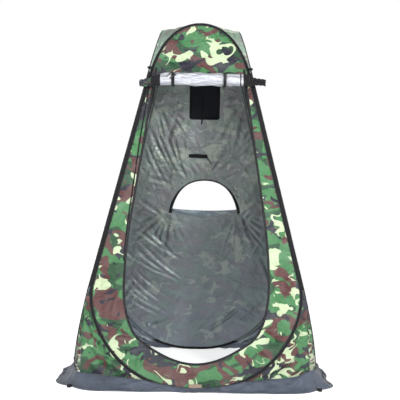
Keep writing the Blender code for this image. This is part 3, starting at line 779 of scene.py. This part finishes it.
def wall_folds(points, seed, height):
    """Tension folds from the foot's two corners and the shoulders, over broad soft unevenness."""
    rng = np.random.default_rng(seed)
    total = ripple(points, rng, height * 0.5, 0.28) + ripple(points, rng, height * 0.18, 0.07, 14)
    total += strewn(points, rng, 90, (0.07, 0.30), height * 0.55)
    for way in (-1, 1):
        half = points * (way, 1)
        total += fan(half, rng, (-0.60, 0.05), (12, 78), 9, (0.06, 0.62), height)
        total += fan(half, rng, (-0.29, 1.60), (-75, -20), 6, (0.04, 0.45), height * 0.7, 0.009)
        for _ in range(7):
            rng.random()  # drawn and left, so that the folds keep their places
            up = rng.uniform(0.25, 1.3)
            start = np.array((rng.uniform(0.01, 0.08) - hoop_side(up), up))
            way_out = heading(math.radians(rng.uniform(-60, 60)))
            end = start + way_out * rng.uniform(0.08, 0.30)
            total += crease(half, start, end, rng.uniform(0.005, 0.011), height * 0.8)
    return total


def front_folds(points):
    """The front wall: folds pulled from the doorway's lower corners and up its sides."""
    rng = np.random.default_rng(53)
    total = wall_folds(points, 5, 0.0080)
    for way in (-1, 1):
        half = points * (way, 1)
        total += fan(half, rng, (0.24, 0.24), (-75, 20), 8, (0.02, 0.34), 0.016, 0.009)
        total += fan(half, rng, (0.36, 0.50), (-70, 60), 7, (0.01, 0.22), 0.012, 0.008)
    return total


def back_folds(points):
    """The back wall: long slanting folds low on one side, and pulls round the window's feet."""
    rng = np.random.default_rng(31)
    total = wall_folds(points, 17, 0.0045)
    rows = (  # creases, first start, step, unevenness, reach left, reach up, its way, most width, heights
        (16, (0.53, 0.10), (-0.014, 0.050), 0.015, (0.16, 0.34), (0.13, 0.30), -1, 0.010, (0.004, 0.009)),
        (9, (0.08, 0.06), (-0.055, 0.018), 0.010, (0.20, 0.38), (0.18, 0.36), 1, 0.011, (0.004, 0.009)),
        (7, (0.40, 1.45), (-0.050, -0.020), 0, (0.08, 0.16), (0.22, 0.40), -1, 0.010, (0.003, 0.006)),
    )
    for count, first, step, uneven, left, up, way, wide, heights in rows:
        for i in range(count):
            start = first + np.array(step) * i
            start[1] += rng.uniform(-uneven, uneven) if uneven else 0
            end = start + (-rng.uniform(*left), way * rng.uniform(*up))
            total += crease(points, start, end, rng.uniform(0.006, wide), rng.uniform(*heights))
    for way, angles in ((-1, (-165, -60)), (1, (-120, -15))):
        foot = (WINDOW_CENTRE + way * WINDOW_HALF, SILL_V)
        total += fan(points, rng, foot, angles, 9, (0.012, 0.32), 0.005, 0.008)
    crown = (WINDOW_CENTRE, SILL_V + WINDOW_RISE)
    total += fan(points, rng, crown, (20, 160), 9, (0.05, 0.30), 0.0035, 0.007)
    flat_strap = in_region(points, -0.06, 0.08, 1.20, 1.26)
    total *= 1 - np.maximum(flat_strap, near_vent(points))
    below_sill = in_region(points, WINDOW_CENTRE - 0.21, WINDOW_CENTRE + 0.21, SILL_V - 0.20, SILL_V + 0.01)
    return np.where(total > 0, total * (1 - 0.85 * below_sill), total)


def add_walls():
    door = closed_over(door_line(DOOR_TOP), 0.010)
    window = closed_over(window_line(), 0.010)[::-1]
    holes = {"front": [door], "back": [window, vent_line(0)]}
    reliefs = {
        "front": front_folds,
        "right": partial(wall_folds, seed=7, height=0.0095),
        "left": partial(wall_folds, seed=11, height=0.0095),
        "back": back_folds,
    }
    outline = offset(hoop_line(), -0.0046)
    for index, side in enumerate(SIDES):
        flat, _, edge = cut = cut_cloth(outline, holes.get(side, []))
        fade = smoothstep(edge, 0.012, 0.060 if side != "front" else 0.045)
        n = 0.014 * np.tanh(reliefs[side](flat) * fade / 0.014)
        n += gathers(flat, edge, 0.0012) * (1 - near_vent(flat) * (side == "back"))
        item = wall_cloth(f"cloth_{side}", side, cut, n, (1.37 * index, 0.61 * index), [CAMO, INSIDE])
        ride(item, side, "camo_fabric", f"{side}_wall")


def line_sleeve(item, side):
    """The silver lining covers a sleeve's inner half, except along its foot."""
    item.data.materials.append(INSIDE)
    inward, rightward = turned(side, (0, 1, 0)), turned(side, (1, 0, 0))
    for face in item.data.polygons:
        foot = face.center.z < 0.06 and abs(rightward @ np.array(face.center)) < 0.33
        facing = np.array(face.normal) @ inward * RISE - face.normal.z * math.sin(LEAN)
        face.material_index = int(facing > 0.05 and not foot)


def add_sleeves():
    """Black tape sewn over each hoop, with a flat hem on the wall."""
    wrap = [p for p in ring(SLEEVE_RADIUS, 14) if p[0] > -0.0052]
    hem = [(-0.0050, 0.0016), (-0.0100, 0.0014), (-0.0100, -0.0014), (-0.0050, -0.0016)]
    section = [p for p in wrap if p[1] >= 0] + hem + [p for p in wrap if p[1] < 0]
    line = hoop_line(0.008)
    for index, side in enumerate(SIDES):
        pucker = 1 + 0.035 * np.random.default_rng(41 + index).standard_normal(len(line))
        item = sewn(f"sleeve_{side}", side, line, section, f"hoop_sleeve_{side}", closed=True, scale=pucker)
        line_sleeve(item, side)
        for place, lift in (("out", 0.0016), ("in", -0.0016)):
            stitches(f"sleeve_stitches_{side}_{place}", side, line, -0.0080, lift, True, 0.0065)


# Corners


def corner_sheet(
    kind, corner, place, columns, rows, slot, shift, *replaced, outside=CAMO, flip=True, whole=True
):
    """place(s, t) maps from the near wall's edge to the far wall's, in the front right corner's frame.

    A whole sheet, at a corner with a joint, is fixed where it lies and rides no body. Otherwise each half
    rides its wall.
    """
    first, second = CORNERS[corner]
    name = f"{kind}_{corner}"

    def add(name, low, size, columns):
        def part(s, t):
            return turned(first, place(low + s * size, t))

        return grid_sheet(name, part, columns, rows, [outside, INSIDE], uv_start=shift, flip=flip)

    if whole and corner in JOINED:
        item = add(name, 0, 1, columns)
        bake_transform(item)
        dress(item, slot, *replaced)
        return
    for half, body in enumerate((first, second)):
        item = add(f"{name}_{body}", half * 0.5, 0.5, columns // 2 + 1)
        ride(item, body, slot)
        if slot != "black_webbing":
            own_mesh(item)
        if replaced and half == 0:
            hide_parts(*replaced)


def gusset_point(s, t):
    """Fabric from one hoop's foot over the ridge to the next hoop's foot, crushed a little."""
    near_half = s <= 0.5
    along = np.where(near_half, 2 * s, 2 - 2 * s)
    share = GUSSET_START + (GUSSET_END - GUSSET_START) * t
    here, ahead = foot_points(share), foot_points(share + 0.01)
    outward = unit(np.stack([here[:, 1] - ahead[:, 1], ahead[:, 0] - here[:, 0]], -1))
    edge = here + np.abs(outward) * (SEAM, -SEAM)
    top = foot_points(GUSSET_START)[0, 1]
    height = top + (GUSSET_FOOT - top) * t**0.8
    out = GUSSET_TOP_OUT + (GUSSET_FOOT_OUT - GUSSET_TOP_OUT) * (top - height) / (top - GUSSET_FOOT)
    start = np.stack([edge[:, 0], -plane_out(edge[:, 1]), edge[:, 1]], -1)
    end = np.stack([out, -out, height], -1)
    point = start + (end - start) * along[:, None]
    sway = 0.5 * np.sin(2 * t + 3 * along)
    folds = 1 - 2 * np.abs(np.sin(along * 7 + t * 9 + sway))
    folds += 0.6 * (1 - 2 * np.abs(np.sin(along * 4 - t * 13 + 1.3))) + 0.3 * np.sin(along * 25 + t * 11)
    fade = arch(along) + 0.2 * along
    point += np.array((0.7, -0.7, 0.15)) * (folds * fade * 0.0085 * smoothstep(t, 0.0, 0.25))[:, None]
    mirror = point[:, (1, 0, 2)] * (-1, -1, 1)
    return np.where(near_half[:, None], point, mirror)


def seam_point(s, t):
    """Tape over the two sleeves where two walls meet, from the top of the gusset to the roof."""
    low, high = FOOT_TOP - 0.02, CROWN_START + 0.015
    height = low + (high - low) * t
    out, s = plane_out(height), s[:, None]
    near = np.stack([out - 0.0100, -out - 0.0042, height], -1)
    far = np.stack([out + 0.0042, -out + 0.0100, height], -1)
    crown = np.stack([out + 0.0030, -out - 0.0030, height], -1)
    return near * (1 - s) ** 2 + crown * 2 * s * (1 - s) + far * s * s


def roof_point(s, t):
    """A roof strip between two neighbouring arches, sagging between them."""
    way = unit(crown_points(np.minimum(t + 0.01, 1)) - crown_points(np.maximum(t - 0.01, 0)))
    edge = crown_points(t) + np.stack([way[:, 1], -way[:, 0]], -1) * SEAM
    out = plane_out(edge[:, 1])
    near = np.stack([edge[:, 0], -out, edge[:, 1]], -1)
    far = np.stack([out, -edge[:, 0], edge[:, 1]], -1)
    point = near + (far - near) * s[:, None]
    span = np.linalg.norm(far - near, axis=1)
    sag = arch(s) * span * 0.022
    waves = arch(s) * 0.003 * np.sin(s * 14 + t * 6) * np.minimum(span / 0.1, 1)
    return point - np.array((0.5, -0.5, 0.7)) * (sag - waves)[:, None]


def add_corners():
    roof_look = {"outside": ROOF_HIGHLIT, "flip": False, "whole": False}
    seam_look = {"outside": TAPE, "flip": False}
    for index, corner in enumerate(CORNERS):
        shift = (2.3 + 0.9 * index, 0.4 * index)
        gusset = f"corner_gusset_{corner}"
        opens = corner != "front_right"  # that corner's walls close on each other, so its gusset is crushed
        corner_sheet("gusset", corner, gusset_point, 41, 45, "camo_fabric", shift, gusset, whole=opens)
        corner_sheet("roof_strip", corner, roof_point, 25, 40, "roof_fabric", shift[::-1], **roof_look)
        corner_sheet("corner_seam", corner, seam_point, 9, 90, "black_webbing", shift, **seam_look)


def roof_top_point(s, t):
    """The flat middle of the roof, sagging between the tops of the four hoops."""
    top = CROWN_TOP + SEAM
    tops = [turned(side, (0, -plane_out(top), top)) for side in SIDES]
    s, t = s[:, None], t[:, None]
    near, far = tops[0] + (tops[1] - tops[0]) * s, tops[3] + (tops[2] - tops[3]) * s
    dip = (0.010 + 0.003 * np.sin(9 * s + 4 * t)) * arch(s) * arch(t)
    return near + (far - near) * t - dip * (0, 0, 1)


def add_roof_top():
    item = grid_sheet("roof_top", roof_top_point, 24, 24, [ROOF_HIGHLIT, INSIDE], uv_start=(4.1, 3.3))
    ride(item, "front", "roof_fabric", "roof_panel")
    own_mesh(item)


def skirt_point(side, s, t):
    """Loose cloth from the foot of a wall to the ground and out along it, in waves."""
    share = 2 * s - 1
    along = np.abs(share)
    foot_across, foot_height = foot_points(GUSSET_END)[0]
    across = SKIRT_INNER_CORNER * along
    part = np.clip(across / foot_across, 0, 1)
    beyond = np.clip((across - foot_across) / (SKIRT_INNER_CORNER - foot_across), 0, 1)
    height = (0.012 + (foot_height - 0.016) * part**2) * (1 - beyond) + 0.066 * beyond
    out = (plane_out(height) + 0.0095) * (1 - beyond) + SKIRT_INNER_CORNER * beyond
    outer = SKIRT_OUT - (SKIRT_OUT - SKIRT_CORNER_OUT) * along**12
    phase = 1.7 * SIDES.index(side)
    wave = np.sin(6 * share + phase) + 0.3 * np.sin(21 * share + 3)
    wave += 0.8 * np.sin(11 * share + 2.1 * phase + 1)
    reach = outer + 0.007 * wave * (1 - along**6)
    slide = smoothstep(t, 0, 0.62 + 0.12 * along)
    now_out = out + (reach - out) * t**0.85
    now_across = across + (SKIRT_CORNER_OUT * along - across) * t ** (1 - 0.15 * along**8)
    ground = 0.0010 + np.maximum(wave, 0) * 0.0075 * t * (1.25 - t) * 2 * (1 - along**8)
    heaped = {"front": 1.0, "right": -1.0}.get(side, 9.0)  # the corner where the cloth is heaped up
    rise = 0.045 * np.exp(-(((share - heaped) / 0.13) ** 2)) * arch(t**0.7)
    crush = np.sin(27 * share + 7 * t + phase) + 0.6 * np.sin(41 * share - 11 * t)
    crush = (crush + 0.5 * np.sin(19 * share + 15 * t)) * 0.0042 * arch(t) * (1 - along**10)
    now_height = np.maximum(height * (1 - slide) + ground + rise + crush + 0.0015, 0.0010)
    return turned(side, np.stack([np.copysign(now_across, share), -now_out, now_height], -1))


def add_skirts():
    for side in SIDES:
        place = partial(skirt_point, side)
        item = grid_sheet(f"ground_skirt_{side}", place, 181, 20, [SLATE], 0.0009)
        ride(item, side, "skirt_fabric", f"skirt_{side}")
        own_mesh(item)


# Door


def roll_radius(u):
    """Slack in the middle, thick where the zip is folded in, and narrow at the free ends."""
    across = (ROLL_LEFT, -0.262, -0.250, -0.210, -0.180, 0.198, 0.226, 0.262, 0.275, ROLL_RIGHT)
    radius = (0.0170, 0.0180, 0.0290, 0.0305, 0.0338, 0.0338, 0.0290, 0.0270, 0.0190, 0.0165)
    return np.interp(u, across, radius)


def roll_droop(u):
    """How far the roll's free ends hang below its tied middle."""
    return 0.024 * smoothstep(-u, 0.17, 0.32) + 0.009 * smoothstep(u, 0.16, 0.34)


def add_roll():
    """The door's fabric wound up on itself, silver side out, its zip tape and print showing at the ends."""
    columns, rows, turns = 190, 150, 2.6
    u, a = np.meshgrid(np.linspace(ROLL_LEFT, ROLL_RIGHT, columns), np.linspace(0, 1, rows))
    angle = math.radians(115) - a * turns * 2 * math.pi
    layer = 1 - 0.62 * a
    loose = 0.0028 * np.sin(3 * angle + 17 * u) + 0.0018 * np.sin(7 * angle - 33 * u + 1)
    loose += 0.0012 * np.sin(13 * angle + 71 * u + 2) + 0.0016 * np.sin(47 * u + 2 * angle)
    bunched = smoothstep(np.abs(u), 0.215, 0.24)
    loose += bunched * 0.0020 * np.sin(330 * u + 1.5 * np.sin(angle))
    held = sum(np.exp(-(((u - tie) / 0.016) ** 2)) for tie in ROLL_TIES)
    loose = loose * (1 - 0.75 * np.clip(held, 0, 1)) - 0.0022 * held + 0.0006
    radius = (roll_radius(u) + loose) * layer
    v = ROLL_V + radius * np.sin(angle) - roll_droop(u) + 0.0015 * np.sin(13 * u + 0.6)
    n = ROLL_OUT + radius * np.cos(angle)
    uneven = 0.004 * np.sin(11 * a * turns + 1) * (np.abs(u) / ROLL_RIGHT) ** 8
    points = on_wall("front", u + uneven, v, n).reshape(-1, 3)
    length = np.cumsum(np.full_like(a, 2 * math.pi * ROLL_RADIUS * turns / rows), axis=0)
    uv = np.stack([u, length + 4.9], -1).reshape(-1, 2)
    item = sheet("rolled_door", points, grid_faces(columns, rows), uv, [ROLL, INSIDE, TAPE, CAMO], 0.0007)
    silver, tape, camo = 0, 2, 3
    middle = (u[:-1, :-1] + u[1:, 1:]).ravel() / 2
    paints = np.full(len(middle), silver, np.int32)
    paints[(middle < -0.204) | ((middle > 0.206) & (middle < 0.214)) | (middle > 0.224)] = tape
    paints[middle < -0.254] = camo
    item.data.polygons.foreach_set("material_index", paints)
    item.modifiers["thickness"].material_offset = 0
    ride(item, "front", "silver_fabric", "door_roll")

    def header(s, t):
        across = -0.232 + 0.464 * s
        size = roll_radius(across)
        end_v, end_n = ROLL_V + size * 0.93 - roll_droop(across), ROLL_OUT - size * 0.36
        start_v, start_n = DOOR_TOP / RISE + 0.010, 0.0012
        v = start_v + (end_v - start_v) * t - 0.004 * arch(t) * (1 + 0.5 * np.sin(40 * across))
        return on_wall("front", across, v, start_n + (end_n - start_n) * t)

    item = grid_sheet("door_header", header, 60, 10, [CAMO, INSIDE], uv_start=(1.2, 8.1))
    ride(item, "front", "camo_fabric")


def add_tie_tails():
    """The loose ends of the two ties, lying over the roll and the wall above it."""
    share = np.linspace(0, 1, 14)
    over = ROLL_OUT + ROLL_RADIUS + 0.0036
    right_v = ROLL_V + 0.028 + 0.022 * share - 0.010 * share**3
    right = (0.131 + 0.075 * share, right_v, over - 0.010 - 0.052 * share**1.2)
    left_n = over - 0.011 + 0.012 * np.sin(math.pi * share * 0.6)
    left = (-0.143 - 0.030 * share, ROLL_V + 0.030 - 0.034 * share, left_n)
    for name, place in (("right", right), ("left", left)):
        strap(f"door_tie_tail_{name}", "front", place, (0.35, 1), 0.0075)


def add_door_zip():
    line = door_line(ZIP_TOP, 0.006)
    sewn("door_zip_tape", "front", line, band(-0.0045, 0.0075, 0.0013), "door_zip_track")
    stitches("door_zip_stitches", "front", line, 0.0058, 0.0018)
    zip_coil("door_zip_coil", "front", line, 1)
    left = line[(line[:, 0] < -0.02) & (line[:, 1] > 0.62)]
    apart = 0.009 + 0.013 * smoothstep(left[:, 1], 0.60, 1.35)
    edge = offset(left, apart, closed=False)
    sewn("door_facing", "front", edge, band(-0.0035, 0.0035, 0.0015, 0.0012))


# Back wall


def add_window():
    """The half-moon window's zip, its end tabs, the hem along its sill, and the flap hanging outside."""
    line = window_line(0.005)
    from_top = np.abs(np.linspace(-1, 1, len(line)))
    width = 0.55 + 0.75 * smoothstep(from_top, 0.30, 0.95)
    sewn("window_zip_tape", "back", line, band(-0.004, 0.010, -0.0013), "window_zip_track", scale=width)
    zip_coil("window_zip_coil", "back", line, -1)
    for name, foot, ahead, turn in (("right", line[0], line[3], 1), ("left", line[-1], line[-4], -1)):
        way = turn * (ahead - foot) / np.linalg.norm(ahead - foot)
        end = evenly(np.array([foot - way * 0.017, foot + way * 0.012]), 0.004)
        sewn(f"window_end_tab_{name}", "back", end, band(-0.008, 0.012, -0.0026, 0.0014))

    def hem(s, t):
        across = WINDOW_CENTRE + WINDOW_HALF * (1 - 2 * s)
        sag = arch(s)
        v = SILL_V + 0.015 - 0.012 * sag**0.6 - 0.040 * t * (0.35 + 0.65 * sag)
        n = -0.0016 - 0.0060 * arch(t) ** 0.8 * (0.6 + 0.4 * np.sin(21 * across)) * sag**0.5
        return on_wall("back", across, v, n)

    item = grid_sheet("window_hem", hem, 70, 12, [INSIDE, INSIDE], uv_start=(2.7, 0.9))
    ride(item, "back", "camo_fabric")

    outline = closed_over(offset(window_line(), -0.0045, closed=False), 0.008)
    flat, faces, edge = cut_cloth(outline, pitch=0.008)
    drop = flat[:, 1] - SILL_V
    rng = np.random.default_rng(61)
    folds = ripple(flat, rng, 0.0030, 0.10)
    for way, angles in ((-1, (8, 50)), (1, (130, 172))):
        folds += fan(flat, rng, (WINDOW_CENTRE + way * 0.2, SILL_V), angles, 4, (0.02, 0.22), 0.004)
    bulge = 0.006 * arch(drop / WINDOW_RISE)
    out = 0.0042 + (bulge + np.abs(folds)) * smoothstep(edge, 0.006, 0.030)
    points = on_wall("back", flat[:, 0], SILL_V - 0.0025 - drop, out)
    item = sheet("window_flap_cloth", points, faces[:, ::-1], flat + (2.74, 1.22), [INSIDE, CAMO])
    ride(item, "window_flap", "camo_fabric", "window_flap")


def add_vent():
    """The vent's net and binding, and the storm flap over its outside."""
    flat, _, edge = cut = cut_cloth(vent_line(-0.0008))
    rng = np.random.default_rng(71)
    n = ripple(flat, rng, 0.0010, 0.08) * smoothstep(edge, 0.006, 0.03)
    ride(wall_cloth("vent_net", "back", cut, n, 0, [NET], 0.0005), "back", "mesh_fabric", "vent_mesh")
    binding = band(-0.006, 0.009, -0.0015, 0.0011)
    sewn("vent_tape", "back", vent_line(0, 0.003), binding, "vent_binding", closed=True)

    bottom, top = VENT_BOTTOM / RISE - VENT_FLAP_LAP, VENT_TOP / RISE + VENT_FLAP_LAP
    outline = rounded_rectangle(VENT_CENTRE, VENT_HALF + VENT_FLAP_LAP, bottom, top, 0.012)
    flat, _, _ = cut = cut_cloth(outline)
    drop = smoothstep(top - flat[:, 1], 0.0, 0.10)
    n = 0.0022 + np.abs(ripple(flat, rng, 0.0032, 0.12)) * drop + 0.0015 * drop
    item = wall_cloth("vent_flap_cloth", "back", cut, n, (5.5, 2.2), [CAMO, INSIDE])
    ride(item, "vent_flap", "camo_fabric", "vent_storm_flap")


def add_vent_tie():
    """The ribbon that hangs from the vent's middle."""
    share = np.linspace(0, 1, 30)
    u = RIBBON_AT + 0.0015 * np.sin(5 * share) + 0.006 * share**6
    v = (RIBBON_TOP + (RIBBON_FOOT - RIBBON_TOP) * share) / RISE
    place = (u, v, -0.0032 - 0.0018 * arch(share))
    strap("vent_ribbon", "back", place, (1, 0), 0.0070, "vent_tie", thickness=0.0008)


def add_hose_strap():
    """A webbing strap bowed off the back wall, its loose end hanging beside it."""
    share = np.linspace(0, 1, 26)
    left, right = HOSE_CENTRE + HOSE_HALF, HOSE_CENTRE - HOSE_HALF
    bowed = arch((share - 0.09) / 0.82)
    v = HOSE_HEIGHT / RISE + 0.0015 * np.sin(5 * share)
    place = (left + (right - left) * share, v, -0.0016 - 0.0105 * bowed)
    strap("hose_webbing", "back", place, (0, 1), 0.0215, "hose_strap")
    tail_v = v[0] + 0.004 - 0.052 * share
    place = (right + 0.004 - 0.030 * share**1.4, tail_v, -0.0030 - 0.0040 * arch(share))
    strap("hose_strap_tail", "back", place, (1, 0.5), 0.0085)


# Small pieces


def add_hem_tab():
    """The tan patch over the foot of the front hoop, stitched round."""
    outline = rounded_rectangle(PATCH_CENTRE, PATCH_HALF, PATCH_BOTTOM, PATCH_TOP, 0.003, 0.003)
    flat, _, edge = cut = cut_cloth(outline, pitch=0.003)
    n = 0.0064 + 0.0008 * smoothstep(edge, 0.0, 0.003) + 0.0003 * np.sin(flat[:, 0] * 260)
    item = wall_cloth("hem_patch", "front", cut, n, 0, [LEATHER], 0.0010)
    ride(item, "front", "tab_leather", "hem_tab")
    inset = 0.003
    bottom, top = PATCH_BOTTOM + inset, PATCH_TOP - inset
    seam = rounded_rectangle(PATCH_CENTRE, PATCH_HALF - inset, bottom, top, 0.002, 0.003)
    stitches("hem_patch_stitches", "front", seam, 0.0, 0.0078, True, 0.0035, "tab_leather")


def paint_carried_nodes():
    """Procedural materials on the CAD parts that stay as they are."""
    paints = {"hoop_wire": STEEL, "hoop_ferrule": STEEL, "slider": METAL, "pull": METAL, "toggle": PLASTIC}
    for name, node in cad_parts.items():
        found = [paint for part, paint in paints.items() if part in name]
        node.data.materials.clear()
        node.data.materials.append(found[0] if found else WEBBING)


# Stage


def add_sky():
    """A white world that dims overhead."""
    world = bpy.data.worlds.new("studio")
    bpy.context.scene.world = world
    world.use_nodes = True
    tree = world.node_tree
    kinds = ("TexCoord", "SeparateXYZ", "MapRange")
    way, split, dim = (tree.nodes.new(f"ShaderNode{kind}") for kind in kinds)
    for socket, value in (("From Min", 0.28), ("From Max", 0.8), ("To Min", 1.0), ("To Max", 0.12)):
        dim.inputs[socket].default_value = value
    background = tree.nodes["Background"].inputs
    background["Color"].default_value = (1, 1, 1, 1)
    tree.links.new(way.outputs["Generated"], split.inputs[0])
    tree.links.new(split.outputs[2], dim.inputs["Value"])
    tree.links.new(dim.outputs[0], background["Strength"])


def add_floor():
    mesh = bpy.data.meshes.new("floor")
    size, height = 60.0, -0.0006
    corners = [(x * size, y * size, height) for x, y in ((-1, -1), (1, -1), (1, 1), (-1, 1))]
    mesh.from_pydata(corners, [], [(0, 1, 2, 3)])
    paint = Paint("pale_floor", 0.9, flat=False, Emission_Color=(1, 1, 1), Emission_Strength=0.68)
    paint.mottle((0.86, 0.86, 0.86), (0.90, 0.90, 0.90), 3.0)
    new_object("floor", mesh, [paint.material])


def place_object(name, data, place, turn):
    item = bpy.data.objects.new(name, data)
    item.location, item.rotation_euler = place, turn
    bpy.context.scene.collection.objects.link(item)
    return item


def add_lights():
    lights = (  # name, place, aim, size, power
        ("key", (-2.8, -2.6, 4.2), (0, 0, 0.9), 0.9, 95),
        ("fill", (3.4, -2.2, 2.6), (0, 0, 0.8), 2.0, 20),
        ("inside_right", (1.5, -3.7, 1.9), (0, 0.4, 0.7), 0.35, 95),
        ("inside_left", (-0.9, -3.9, 2.4), (0, 0.4, 0.7), 0.35, 35),
    )
    for name, place, aim, size, power in lights:
        light = bpy.data.lights.new(name, "AREA")
        light.size, light.energy = size, power
        place_object(name, light, place, (Vector(aim) - Vector(place)).to_track_quat("-Z", "Y").to_euler())


def add_camera():
    camera = bpy.data.cameras.new("camera")
    camera.lens = CAMERA_LENS
    item = place_object("camera", camera, CAMERA_PLACE, [math.radians(angle) for angle in CAMERA_TURN])
    bpy.context.scene.camera = item


paint_carried_nodes()
add_walls()
add_sleeves()
add_corners()
add_roof_top()
add_skirts()
add_roll()
add_tie_tails()
add_door_zip()
add_window()
add_vent()
add_vent_tie()
add_hose_strap()
add_hem_tab()
add_sky()
add_floor()
add_lights()
add_camera()
bpy.context.scene.view_settings.view_transform = "Standard"
